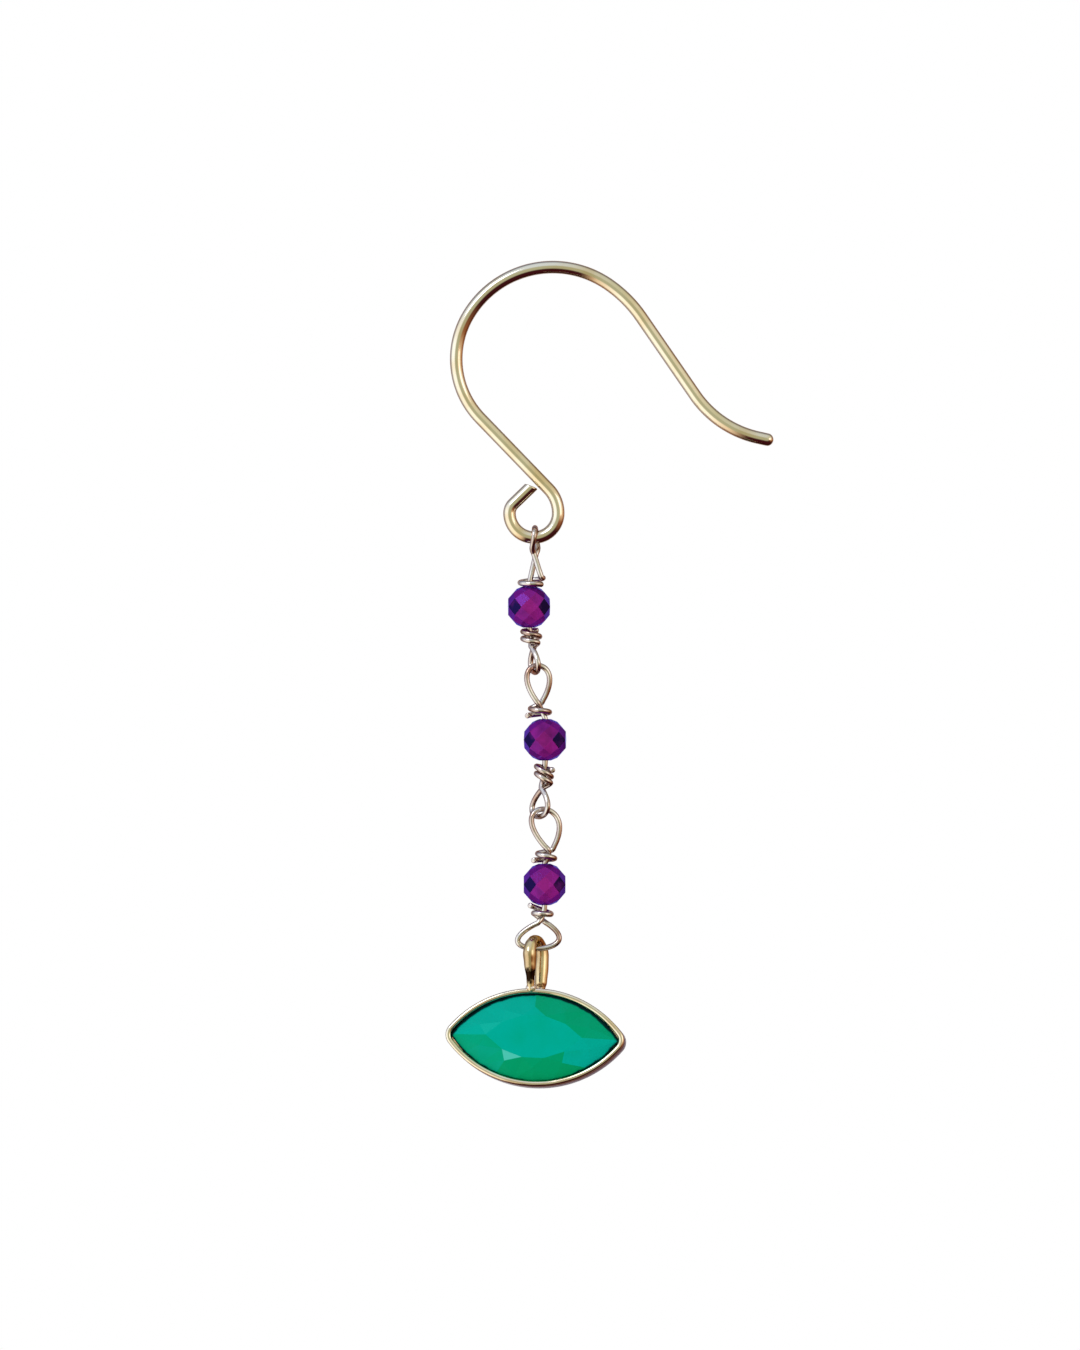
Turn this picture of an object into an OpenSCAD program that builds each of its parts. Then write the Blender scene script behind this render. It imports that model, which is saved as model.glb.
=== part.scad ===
// Drop earring of wire, three faceted beads and a marquise stone, hanging as it is worn.
// Millimetres. X to the right, Y to the back, Z up. The origin is the underside of the
// ear wire's bend, where it sits in the ear.

/* [Ear wire] */
// Diameter of the ear wire
hook_wire = 0.75; // [0.7:0.01:0.8]
// Radius of the bend over the ear, at the wire's centre
crown_r = 5.85; // [5.7:0.05:6]
// Radius of the lower front bend
front_r = 5.08; // [5:0.02:5.16]
// Straight run from the front bend to the ring
shank_run = 5.85; // [5.7:0.05:6]
// Radius of the ring that carries the drop
ring_r = 1.45; // [1.41:0.01:1.5]
// Straight run of the tail behind the ear
tail_run = 5.64; // [5.2:0.1:6]

/* [Links] */
// Diameter of the wire of the three links
link_wire = 0.33; // [0.3:0.01:0.35]
// Clearance between two pieces of metal that hang on each other
hang_gap = 0.04; // [0.03:0.01:0.05]
// Rise of one turn of a wrap
wrap_pitch = 0.42; // [0.4:0.01:0.44]

/* [Beads] */
// Diameter of the faceted beads
bead_d = 2.5; // [2.4:0.05:2.56]
// Diameter of the hole drilled through a bead
bead_bore = 0.5; // [0.44:0.02:0.6]
// Facets round a bead
bead_facets = 10; // [10:2:16]

/* [Setting] */
// Length of the bezel from tip to tip
bezel_length = 10.65; // [10.4:0.05:10.9]
// Height of the bezel, top to bottom
bezel_width = 5.85; // [5.7:0.05:6]
// Depth of the bezel, front to back
bezel_depth = 2.3; // [2.2:0.05:2.6]
// Thickness of the bezel's wall
bezel_wall = 0.24; // [0.2:0.01:0.28]
// How far the rim is pressed in over the stone
rim_lip = 0.08; // [0.06:0.01:0.12]
// Diameter of the bail's wire
bail_wire = 0.7; // [0.64:0.02:0.74]

/* [Stone] */
// Height of the table above the girdle
crown_height = 0.9; // [0.7:0.05:1.1]
// Length of the table
table_length = 5.8; // [5.4:0.1:6.2]
// Width of the table
table_width = 2.6; // [2.4:0.1:2.8]

/* [Hidden] */

gold = [0.85, 0.71, 0.42];
pale_gold = [0.82, 0.74, 0.6];
garnet = [0.45, 0.05, 0.3];
green = [0, 0.62, 0.5];
fine = 48;

// Columns of a table of bends: straight run before the bend, radius of the bend at the
// wire's centre, turn to the left in degrees
RUN = 0;
RADIUS = 1;
TURN = 2;
shank_bend_r = 2.07;
ring_end_bend_r = 0.77;
front_bends = [
  [0, crown_r, 60],
  [0, front_r, 74],
  [shank_run, shank_bend_r, -44.4],
  [0, ring_r, -179.6],
  [0, ring_end_bend_r, -46]
];
ring_bend = 3;
ring_end_run = 1.8;
// The ring's end is cut flush beside the shank: how much of its upper side the cut takes, and
// the angle of the cut face
ring_cut_run = 0.45;
ring_cut_angle = -21;
tail_shoulder_r = 7.6;
tail_flick_r = 6.2;
tail_bends = [
  [0, crown_r, -34.7],
  [0, tail_shoulder_r, -20.7],
  [tail_run, tail_flick_r, 42.9]
];
tail_end_run = 0.55;

// A place on a bent wire: across, up and the heading in degrees
ACROSS = 0;
UP = 1;
HEADING = 2;
crown_z = hook_wire / 2;
front_start = [0, crown_z, 180];
tail_start = [0, crown_z, 0];

// Columns of an eye: half width, height, reach from the bead's centre to the eye's far end,
// facing of the far end in degrees (0 faces the front), twist from there to the neck, how
// far the neck stands beside the stem, lean of the eye in degrees, and the side of the eye
// on which the stem goes up
HALF = 0;
EYE = 1;
REACH = 2;
FACING = 3;
TWIST = 4;
NECK = 5;
LEAN = 6;
SIDE = 7;
top_upper_eye = [0.72, 1.65, 4.71, -100, -80, 0.36, 0, -1];
top_lower_eye = [0.85, 1.7, 3.9, -68, 0, 0.22, 5, 1];
middle_upper_eye = [0.69, 2.4, 4.42, 6, 0, -0.32, -3, -1];
middle_lower_eye = [0.98, 1.85, 4.58, -56, 0, -0.15, -7, 1];
lower_upper_eye = [0.83, 2.6, 4.48, 6, 0, 0.36, -10, -1];
lower_lower_eye = [1.23, 1.67, 3.82, 0, 0, -0.13, -12, -1];

// Columns of a wrap: radius, number of turns, height over the bead's centre, how far it
// rises to the right in degrees, how far the wire's end stands out, and how far the wrap
// stands beside the bead's axis
WRAP_R = 0;
TURNS = 1;
WRAP_Z = 2;
TILT = 3;
TAIL = 4;
ASIDE = 5;
top_upper_wrap = [0.68, 1, 1.3, 3, 0.05, 0.16];
top_lower_wrap = [0.5, 1.75, 1.36, -5, 0.2, 0.14];
middle_upper_wrap = [0.56, 1.1, 1.42, 0, 0.22, -0.3];
middle_lower_wrap = [0.44, 2, 1.55, -25, 0.1, -0.07];
lower_upper_wrap = [0.5, 1.1, 1.36, -4, 0.3, 0.1];
lower_lower_wrap = [0.52, 1.1, 1.42, -14, 0.25, -0.13];

// Where the chain hangs: each eye rests on the wire below or above it, a little higher
// where the two eyes do not meet at their middles
hang_step = link_wire + hang_gap;
middle_lift = 0.04;
lower_lift = 0.08;
ring_foot = foot_of(front_bends, front_start, ring_bend);
top_eye_z = ring_foot[UP] + hook_wire / 2 + link_wire / 2 + hang_gap;
top_z = top_eye_z - top_upper_eye[REACH];
middle_z = top_z - top_lower_eye[REACH] + hang_step + middle_lift - middle_upper_eye[REACH];
lower_z = middle_z - middle_lower_eye[REACH] + hang_step + lower_lift - lower_upper_eye[REACH];
lower_eye_z = lower_z - lower_lower_eye[REACH];
top_x = -1.42;
middle_x = -0.46;
lower_x = -0.49;

// The pendant hangs on the lowest eye by its bail
pendant_x = -1;
bail_top_z = lower_eye_z + link_wire / 2 + hang_gap + bail_wire / 2;
bail_r = 0.95;
bail_leg = 2.22;
bail_spread = 6;
bail_foot = 0.4;
bail_yaw = -19;
bail_set_back = 0.71;
pendant_pitch = -5;
pendant_yaw = -4;
setting_roll = 2;

// The bezel's outline is two arcs with rounded tips, and a tip circle is a hair larger than
// the one that the arcs would touch
tip_r = 0.55;
tip_lap = 0.04;
tip_extra = 0.005;
back_plate = 0.4;
lip_depth = 0.12;
mouth_front = -2;
girdle_gap = 0.04;
girdle_front = 0.25;
girdle_height = 0.15;
star_length = 7.8;
star_width = 3.6;
star_share = 0.72;
keel_length = 3.4;
pavilion_depth = 1.3;
stone_facets = 10;

wire_sides = 6;
ring_spacing = 0.25;

// Places along a bent wire

function ahead(p, run) = [
  p[ACROSS] + run * cos(p[HEADING]),
  p[UP] + run * sin(p[HEADING]),
  p[HEADING]
];
function turn_side(turn) = turn > 0 ? 1 : -1;
function bend_centre(p, r, turn) = [
  p[ACROSS] - turn_side(turn) * r * sin(p[HEADING]),
  p[UP] + turn_side(turn) * r * cos(p[HEADING])
];
function round_bend(p, r, turn) =
  let (
    centre = bend_centre(p, r, turn),
    heading = p[HEADING] + turn
  ) [
    centre[0] + turn_side(turn) * r * sin(heading),
    centre[1] - turn_side(turn) * r * cos(heading),
    heading
  ];
function after(p, row) = round_bend(ahead(p, row[RUN]), row[RADIUS], row[TURN]);
function place_at(bends, start, i) = i == 0 ? start : after(place_at(bends, start, i - 1), bends[i - 1]);

// The lowest place of one bend of a wire
function foot_of(bends, start, i) =
  let (
    row = bends[i],
    centre = bend_centre(ahead(place_at(bends, start, i), row[RUN]), row[RADIUS], row[TURN])
  ) [centre[0], centre[1] - row[RADIUS], 0];

// Sections of a bent wire stop a hair short of each other, and a collar a few thousandths
// of a millimetre thicker fuses them
seam = 0.01;
collar_extra = 0.016;

module wire_section(p, run, d, end_d) {
  q = ahead(p, seam);
  translate([q[ACROSS], q[UP], 0])
    rotate([0, 0, q[HEADING]])
      rotate([0, 90, 0])
        cylinder(h = run - 2 * seam, d1 = d, d2 = end_d, $fn = fine);
}

module wire_curve(p, r, turn, d) {
  centre = bend_centre(p, r, turn);
  first = turn > 0 ? p[HEADING] - 90 : p[HEADING] + 90 + turn;
  skip = seam / r * 180 / PI;
  translate([centre[0], centre[1], 0])
    rotate([0, 0, first + skip])
      rotate_extrude(angle = abs(turn) - 2 * skip, $fn = fine * 2)
        translate([r, 0])
          circle(d = d, $fn = fine);
}

module wire_collar(p, d) {
  translate([p[ACROSS], p[UP], 0])
    rotate([0, 0, p[HEADING]])
      rotate([0, 90, 0])
        cylinder(h = 4 * seam, d = d + collar_extra, center = true, $fn = fine);
}

module round_tip(p, d) {
  translate([p[ACROSS], p[UP], 0])
    rotate([0, 0, p[HEADING]])
      rotate([0, 90, 0])
        rotate_extrude($fn = fine)
          intersection() {
            circle(d = d + collar_extra, $fn = fine);
            translate([0, -seam * 2])
              square(d);
          }
}

module bent_wire(bends, start, d) {
  for (i = [0 : len(bends) - 1]) {
    p = place_at(bends, start, i);
    row = bends[i];
    q = ahead(p, row[RUN]);
    if (row[RUN] > 0) {
      wire_section(p, row[RUN], d, d);
      wire_collar(q, d);
    }
    wire_curve(q, row[RADIUS], row[TURN], d);
    wire_collar(after(p, row), d);
  }
}

module ring_end() {
  start = place_at(front_bends, front_start, len(front_bends));
  cut = ahead(start, ring_end_run - ring_cut_run);
  difference() {
    wire_section(start, ring_end_run, hook_wire, hook_wire);
    translate([
      cut[ACROSS] - hook_wire / 2 * sin(cut[HEADING]),
      cut[UP] + hook_wire / 2 * cos(cut[HEADING]),
      0
    ])
      rotate([0, 0, ring_cut_angle])
        translate([-hook_wire / 2, 0, -hook_wire])
          cube([2 * hook_wire, hook_wire, 2 * hook_wire]);
  }
}

module tail_end() {
  start = place_at(tail_bends, tail_start, len(tail_bends));
  wire_section(start, tail_end_run, hook_wire, hook_wire);
  round_tip(ahead(start, tail_end_run), hook_wire);
}

module ear_hook() {
  color(gold)
    rotate([90, 0, 0]) {
      wire_collar(front_start, hook_wire);
      bent_wire(front_bends, front_start, hook_wire);
      ring_end();
      bent_wire(tail_bends, tail_start, hook_wire);
      tail_end();
    }
}

// The wire of a link, as a round tube along a smooth path

function unit(v) = v / norm(v);
function square_to(n, t) = unit(n - (n * t) * t);
function heading_at(path, i) = unit(path[min(i + 1, len(path) - 1)] - path[max(i - 1, 0)]);
function glide(p, q, a, b, s) =
  (2 * s ^ 3 - 3 * s ^ 2 + 1) * p + (s ^ 3 - 2 * s ^ 2 + s) * norm(q - p) * a
  + (3 * s ^ 2 - 2 * s ^ 3) * q + (s ^ 3 - s ^ 2) * norm(q - p) * b;
function smooth_path(knots) = [
  for (i = [0 : len(knots) - 2])
    let (steps = max(1, ceil(norm(knots[i + 1] - knots[i]) / ring_spacing)))
      for (k = [0 : steps - 1])
        glide(knots[i], knots[i + 1], heading_at(knots, i), heading_at(knots, i + 1), k / steps),
  knots[len(knots) - 1]
];

module tube(path, d, sides) {
  count = len(path);
  headings = [for (i = [0 : count - 1]) heading_at(path, i)];
  normals = [
    for (i = 0, n = square_to([0, 1, 0.01], headings[0]);
         i < count;
         i = i + 1, n = square_to(n, headings[min(i, count - 1)])) n
  ];
  points = [
    for (i = [0 : count - 1], k = [0 : sides - 1])
      path[i] + d / 2 * (cos(k * 360 / sides) * normals[i]
        + sin(k * 360 / sides) * cross(headings[i], normals[i]))
  ];
  walls = [
    for (i = [0 : count - 2], k = [0 : sides - 1])
      let (a = i * sides + k, b = i * sides + (k + 1) % sides)
        each [[a, a + sides, b], [b, a + sides, b + sides]]
  ];
  last = (count - 1) * sides;
  caps = [[for (k = [0 : sides - 1]) k], [for (k = [sides - 1 : -1 : 0]) last + k]];
  polyhedron(points, concat(walls, caps));
}

// One end of a link in its own terms: out is the way along the stem from the bead, across
// lies in the eye's plane, and depth is square to it
function share(low, high, value) = min(max((value - low) / (high - low), 0), 1);
function neck_of(eye) = eye[REACH] - eye[EYE];
function beside(eye, out) =
  eye[NECK] * share(bead_d / 2, neck_of(eye), out) + max(out - neck_of(eye), 0) * tan(eye[LEAN]);
function end_point(eye, way, across, depth, out, aside) =
  let (
    facing = eye[FACING] + eye[TWIST] * share(0, eye[EYE], eye[REACH] - out) ^ 3
  ) [
    across * cos(facing) - depth * sin(facing) + aside,
    across * sin(facing) + depth * cos(facing),
    way * out
  ];

// The eye is a drop shape whose two legs cross at its neck, one in front of the other
widest = 0.77;
function eye_knot(eye, way, angle) =
  let (
    across = eye[SIDE] * eye[HALF] / widest * sin(angle) * sin(angle / 2),
    depth = -hang_step / 2 * cos(angle / 2),
    out = eye[REACH] - eye[EYE] * (1 + cos(angle)) / 2
  ) end_point(eye, way, across, depth, out, beside(eye, out));

// The wrap turns round the stem towards the bead, and its end stands out a little
wrap_start = 60;
tail_share = 0.25;
stem_start = 0.3;
stem_room = 0.18;
function wrap_knot(eye, wrap, way, angle) =
  let (
    done = (angle - wrap_start) / 360,
    r = wrap[WRAP_R] + wrap[TAIL] * share(wrap[TURNS] - tail_share, wrap[TURNS], done),
    out = wrap[WRAP_Z] + wrap_pitch * (wrap[TURNS] - done),
    p = end_point(eye, way, eye[SIDE] * r * sin(angle), r * cos(angle), out, wrap[ASIDE])
  ) p + [0, 0, (p[0] - wrap[ASIDE]) * tan(wrap[TILT])];

function stem_top(wrap) = wrap[WRAP_Z] + wrap_pitch * wrap[TURNS] - stem_room;
function end_knots(eye, wrap, way) = concat(
  [
    [0, 0, way * stem_start],
    [0, 0, way * (wrap[WRAP_Z] - stem_room)],
    [beside(eye, stem_top(wrap)), 0, way * stem_top(wrap)]
  ],
  [for (angle = [30 : 15 : 330]) eye_knot(eye, way, angle)],
  [for (angle = [wrap_start : 30 : wrap_start + 360 * wrap[TURNS]]) wrap_knot(eye, wrap, way, angle)]
);
function backwards(list) = [for (i = [len(list) - 1 : -1 : 0]) list[i]];

module link(upper_eye, upper_wrap, lower_eye, lower_wrap, x, z) {
  up = end_knots(upper_eye, upper_wrap, 1);
  down = end_knots(lower_eye, lower_wrap, -1);
  color(pale_gold)
    translate([x, 0, z])
      tube(smooth_path(concat(backwards(up), down)), link_wire, wire_sides);
}

module top_link() {
  link(top_upper_eye, top_upper_wrap, top_lower_eye, top_lower_wrap, top_x, top_z);
}

module middle_link() {
  link(middle_upper_eye, middle_upper_wrap, middle_lower_eye, middle_lower_wrap, middle_x, middle_z);
}

module lower_link() {
  link(lower_upper_eye, lower_upper_wrap, lower_lower_eye, lower_lower_wrap, lower_x, lower_z);
}

// A bead of flat diamond facets: the corners lie on a ball in rings, each turned by half
// a facet, and a ring's radius and height follow from the two before it

function next_ring(a, b) =
  let (
    mid = [b[0] * cos(180 / bead_facets), b[1]],
    step = mid - a,
    reach = -2 * (a * step) / (step * step)
  ) a + reach * step;
function bead_ring(i) =
  i == 0 ? [1, 0]
  : i == 1 ? [cos(180 / bead_facets), sin(180 / bead_facets)]
  : next_ring(bead_ring(i - 2), bead_ring(i - 1));
bead_rings = 6;

module faceted_ball(d) {
  corners = [
    for (i = [-bead_rings : bead_rings], k = [0 : bead_facets - 1])
      let (
        ring = bead_ring(abs(i)),
        angle = 360 / bead_facets * (k + (abs(i) % 2) / 2)
      ) d / 2 * [ring[0] * cos(angle), ring[0] * sin(angle), i < 0 ? -ring[1] : ring[1]]
  ];
  bands = [
    for (i = [0 : 2 * bead_rings - 1], k = [0 : bead_facets - 1])
      let (
        odd = abs(i - bead_rings) % 2,
        a = i * bead_facets + k,
        b = i * bead_facets + (k + 1) % bead_facets,
        up = a + bead_facets,
        up_next = b + bead_facets
      )
        each odd == 1 ? [[a, up_next, b], [a, up, up_next]] : [[a, up, b], [b, up, up_next]]
  ];
  last = 2 * bead_rings * bead_facets;
  caps = [
    [for (k = [0 : bead_facets - 1]) k],
    [for (k = [bead_facets - 1 : -1 : 0]) last + k]
  ];
  polyhedron(corners, concat(bands, caps));
}

module bead(x, z) {
  color(garnet)
    translate([x, 0, z])
      difference() {
        faceted_ball(bead_d);
        cylinder(h = 2 * bead_d, d = bead_bore, center = true, $fn = fine);
      }
}

module top_bead() {
  bead(top_x, top_z);
}

module middle_bead() {
  bead(middle_x, middle_z);
}

module lower_bead() {
  bead(lower_x, lower_z);
}

// A marquise outline of two arcs with rounded tips

function marquise_c(l, r) = l / 2 - r;
function marquise_arc(l, w, r) = (marquise_c(l, r) ^ 2 + w ^ 2 / 4 - r ^ 2) / (w - 2 * r);
function marquise_reach(l, w, r) = asin(marquise_c(l, r) / (marquise_arc(l, w, r) - r));
function marquise_point(l, w, r, turn) =
  let (
    side = turn < 0.5 ? 1 : -1,
    part = turn < 0.5 ? turn : 1 - turn,
    arc = marquise_arc(l, w, r),
    angle = marquise_reach(l, w, r) * (1 - 4 * part)
  )
    part == 0 ? [l / 2, 0]
    : part == 0.5 ? [-l / 2, 0]
    : [arc * sin(angle), side * (arc * cos(angle) - arc + w / 2)];

module marquise(inset) {
  c = marquise_c(bezel_length, tip_r);
  arc = marquise_arc(bezel_length, bezel_width, tip_r);
  reach = marquise_reach(bezel_length, bezel_width, tip_r);
  edge = (arc - inset) * sin(reach);
  intersection() {
    translate([0, bezel_width / 2 - arc])
      circle(r = arc - inset, $fn = fine * 4);
    translate([0, arc - bezel_width / 2])
      circle(r = arc - inset, $fn = fine * 4);
    square([2 * (edge + tip_lap), bezel_width], center = true);
  }
  for (side = [-1, 1])
    translate([side * c, 0])
      circle(r = tip_r - inset + tip_extra, $fn = fine);
}

// A marquise plate lying in the setting's own frame, from one depth to another
module marquise_plate(inset, front, back) {
  rotate([0, setting_roll, 0])
    translate([0, back, 0])
      rotate([90, 0, 0])
        linear_extrude(back - front)
          marquise(inset);
}

// Puts a piece of the pendant in its hanging place
bail_sink = 0.3;
bail_rise = bail_leg * cos(bail_spread) + bail_r * (1 + sin(bail_spread));
setting_drop = bail_rise + bezel_width / 2 - bail_sink;
module hang_pendant() {
  translate([pendant_x, 0, bail_top_z])
    rotate([pendant_pitch, 0, pendant_yaw])
      translate([0, -bail_set_back, -setting_drop])
        children();
}

module bail() {
  shoulder = [-bail_r * cos(bail_spread), bail_leg * cos(bail_spread), 90 + bail_spread];
  over = [0, bail_r, -180 - 2 * bail_spread];
  translate([0, bail_set_back, bezel_width / 2 - bail_sink])
    rotate([90, 0, 90 + bail_yaw]) {
      wire_collar(shoulder, bail_wire);
      bent_wire([over], shoulder, bail_wire);
      wire_section(after(shoulder, over), bail_leg, bail_wire, bail_foot);
      wire_section([shoulder[ACROSS], shoulder[UP], 270 + bail_spread], bail_leg, bail_wire, bail_foot);
    }
}

module bezel_setting() {
  color(gold)
    hang_pendant()
      difference() {
        union() {
          marquise_plate(0, 0, bezel_depth);
          bail();
        }
        marquise_plate(bezel_wall + rim_lip, mouth_front, 2 * lip_depth);
        marquise_plate(bezel_wall, lip_depth, bezel_depth - back_plate);
      }
}

module green_stone() {
  inset = 2 * (bezel_wall + girdle_gap);
  l = bezel_length - inset;
  w = bezel_width - inset;
  r = tip_r - inset / 2;
  n = stone_facets;
  star_front = girdle_front - crown_height * star_share;
  at_depth = function (p, depth) [p[0], depth, p[1]];
  table = [
    for (i = [0 : n - 1])
      at_depth(marquise_point(table_length, table_width, 0, i / n), girdle_front - crown_height)
  ];
  stars = [
    for (i = [0 : n - 1])
      at_depth(marquise_point(star_length, star_width, 0, (i + 0.5) / n), star_front)
  ];
  girdle = [for (i = [0 : 2 * n - 1]) marquise_point(l, w, r, i / n / 2)];
  front_girdle = [for (p = girdle) at_depth(p, girdle_front)];
  back_girdle = [for (p = girdle) at_depth(p, girdle_front + girdle_height)];
  keel = [
    for (side = [1, -1]) [side * keel_length / 2, girdle_front + girdle_height + pavilion_depth, 0]
  ];
  points = concat(table, stars, front_girdle, back_girdle, keel);
  s = n;
  g = 2 * n;
  b = 4 * n;
  k = 6 * n;
  crown = [
    for (i = [0 : n - 1])
      let (
        next = (i + 1) % n,
        before = (i + n - 1) % n,
        at = g + 2 * i,
        mid = g + 2 * i + 1,
        far = g + (2 * i + 2) % (2 * n)
      ) each [
        [i, next, s + i],
        [i, s + i, at],
        [i, at, s + before],
        [s + i, mid, at],
        [s + i, far, mid]
      ]
  ];
  band = [
    for (i = [0 : 2 * n - 1])
      let (j = (i + 1) % (2 * n))
        each [[g + i, g + j, b + i], [g + j, b + j, b + i]]
  ];
  right_half = function (i) i < n / 2 || i >= 3 * n / 2;
  pavilion = [
    for (i = [0 : 2 * n - 1])
      let (
        j = (i + 1) % (2 * n),
        near = right_half(i) ? k : k + 1
      )
        [b + i, b + j, near]
  ];
  ridge = [[b + n / 2, k + 1, k], [b + 3 * n / 2, k, k + 1]];
  color(green)
    hang_pendant()
      rotate([0, setting_roll, 0])
        polyhedron(points, concat([[for (i = [n - 1 : -1 : 0]) i]], crown, band, pavilion, ridge));
}

ear_hook();
top_link();
top_bead();
middle_link();
middle_bead();
lower_link();
lower_bead();
bezel_setting();
green_stone();
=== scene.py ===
"""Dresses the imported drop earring: an ear wire, three wrapped links with garnet beads, and a green
marquise stone in a gold bezel. Lengths are millimetres unless a comment says metres."""

import math
from collections import namedtuple

import bmesh
import bpy
from mathutils import Matrix, Vector, noise


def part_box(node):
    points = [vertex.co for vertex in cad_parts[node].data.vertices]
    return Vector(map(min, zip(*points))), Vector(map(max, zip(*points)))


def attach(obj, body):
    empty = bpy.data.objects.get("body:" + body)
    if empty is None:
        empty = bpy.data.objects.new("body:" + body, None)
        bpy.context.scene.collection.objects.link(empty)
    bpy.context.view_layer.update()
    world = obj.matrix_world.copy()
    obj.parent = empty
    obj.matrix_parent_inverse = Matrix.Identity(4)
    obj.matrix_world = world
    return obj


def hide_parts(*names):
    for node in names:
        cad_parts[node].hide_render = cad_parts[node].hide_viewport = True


bl_info = {
    "name": "Drop earring dresser",
    "version": (1, 0, 0),
    "blender": (4, 5, 0),
    "location": "3D View > Sidebar > Earring",
    "description": "Makes the wires, beads, stone and setting of a drop earring and its stage",
    "category": "Object",
}

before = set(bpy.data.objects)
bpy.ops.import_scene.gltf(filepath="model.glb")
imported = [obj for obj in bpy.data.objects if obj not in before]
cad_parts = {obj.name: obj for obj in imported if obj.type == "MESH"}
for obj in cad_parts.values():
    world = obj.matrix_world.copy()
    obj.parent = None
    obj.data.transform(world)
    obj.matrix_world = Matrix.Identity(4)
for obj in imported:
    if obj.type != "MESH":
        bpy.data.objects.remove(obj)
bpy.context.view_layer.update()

# A millimetre in Blender's metres, how near two corners are one, in millimetres, and how many
# corners a flat cap has at least
MM = 0.001
SAME_PLACE = 0.0005
CAP_CORNERS = 6

# Shapes of the bent wires: straight run before a bend, radius of the bend at the wire's
# centre, and turn to the left in degrees
Bend = namedtuple("Bend", "run radius turn")
FRONT_BENDS = (
    Bend(0, 5.85, 60),
    Bend(0, 5.08, 74),
    Bend(5.85, 2.07, -44.4),
    Bend(0, 1.45, -179.6),
    Bend(0, 0.77, -46),
)
TAIL_BENDS = (
    Bend(0, 5.85, -34.7),
    Bend(0, 7.6, -20.7),
    Bend(5.64, 6.2, 42.9),
)

# The ear wire's ring: the bend at its foot, the run after the last bend, how much of that run
# is cut away, the direction of the cut in degrees, and how far the cut's edge is softened
RING_BEND = 3
RING_END_RUN = 1.8
RING_CUT_RUN = 0.45
RING_CUT_ANGLE = -21
RING_CUT_EDGE = 0.06

# The ear wire's tail: the run after its last bend, how far the tip goes on past it, and the
# length over which the tip is rounded
TAIL_END_RUN = 0.55
TAIL_TIP_RUN = 0.37
TAIL_TAPER = 0.36

# A link's eye: half width, height, reach from the bead's centre to its far end, facing of the
# far end, twist to the neck, how far the neck stands beside the stem, lean, and the side on
# which the stem goes up
Eye = namedtuple("Eye", "half height reach facing twist neck lean side")
# The wrap at an end: radius, turns, height over the bead's centre, rise to the right in
# degrees, how far the wire's end stands out, and how far the wrap stands beside the axis
Wrap = namedtuple("Wrap", "radius turns height tilt tail aside")
# A link: where its stem stands across, its two ends, and how far it is lifted in the eye above
Link = namedtuple("Link", "x upper_eye upper_wrap lower_eye lower_wrap lift")
LINKS = {
    "top": Link(
        -1.42,
        Eye(0.72, 1.65, 4.71, -100, -80, 0.36, 0, -1),
        Wrap(0.68, 1, 1.3, 3, 0.05, 0.16),
        Eye(0.85, 1.7, 3.9, -68, 0, 0.22, 5, 1),
        Wrap(0.5, 1.75, 1.36, -5, 0.2, 0.14),
        0,
    ),
    "middle": Link(
        -0.46,
        Eye(0.69, 2.4, 4.42, 6, 0, -0.32, -3, -1),
        Wrap(0.56, 1.1, 1.42, 0, 0.22, -0.3),
        Eye(0.98, 1.85, 4.58, -56, 0, -0.15, -7, 1),
        Wrap(0.44, 2, 1.55, -25, 0.1, -0.07),
        0.04,
    ),
    "lower": Link(
        -0.49,
        Eye(0.83, 2.6, 4.48, 6, 0, 0.36, -10, -1),
        Wrap(0.5, 1.1, 1.36, -4, 0.3, 0.1),
        Eye(1.23, 1.67, 3.82, 0, 0, -0.13, -12, -1),
        Wrap(0.52, 1.1, 1.42, -14, 0.25, -0.13),
        0.08,
    ),
}

# The gap between two wires that hang in each other
HANG_GAP = 0.04

# A link's eye is a loop that starts and ends this many degrees from its neck, and the widest
# place in the formula of a loop
EYE_OPENING = 30
WIDEST = 0.77

# How far over the bead's centre the stem starts and begins to lean, and its room beside a wrap
STEM_START = 0.3
NECK_START = 1.25
STEM_ROOM = 0.18

# A wrap's pitch, the angle at which it starts in degrees, and the turns over which its end
# comes away from the stem
WRAP_PITCH = 0.42
WRAP_START = 60
TAIL_SHARE = 0.25

# Degrees between the knots of an eye and of a wrap
EYE_STEP = 15
WRAP_STEP = 30

# The beads' facets round them, their radius along the bore, how much wider they are across
# it, the radii of their flat ends and their bore, how far the polish stays off the ends, and
# how far each bead is turned in degrees
BEAD_FACETS = 8
BEAD_R = 1.28
BEAD_STRETCH = 1.05
BEAD_END_R = 0.36
BEAD_BORE_R = 0.25
BEAD_END_ROOM = 0.05
BEAD_TURNS = {"top": 25, "middle": 19, "lower": 23}

# Tones of a bead's facets: a middle tone, and how far chance moves it. Facets with painted shade
# face between the front and a side, from this far aslant, and less than this far up or down
Tone = namedtuple("Tone", "middle chance")
PAINTED_SHADE_FACET = Tone(0.12, 0.3)
BRIGHT_FACET = Tone(0.8, 0.6)
PAINTED_SHADE_ASLANT = 0.8
PAINTED_SHADE_RISE = 0.3

# The bezel's outline is two arcs with rounded tips
BEZEL_LENGTH = 10.65
BEZEL_WIDTH = 5.85
TIP_R = 0.8
TIP_CENTRE = BEZEL_LENGTH / 2 - TIP_R
BEZEL_ARC = (TIP_CENTRE**2 + BEZEL_WIDTH**2 / 4 - TIP_R**2) / (BEZEL_WIDTH - 2 * TIP_R)

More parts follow.
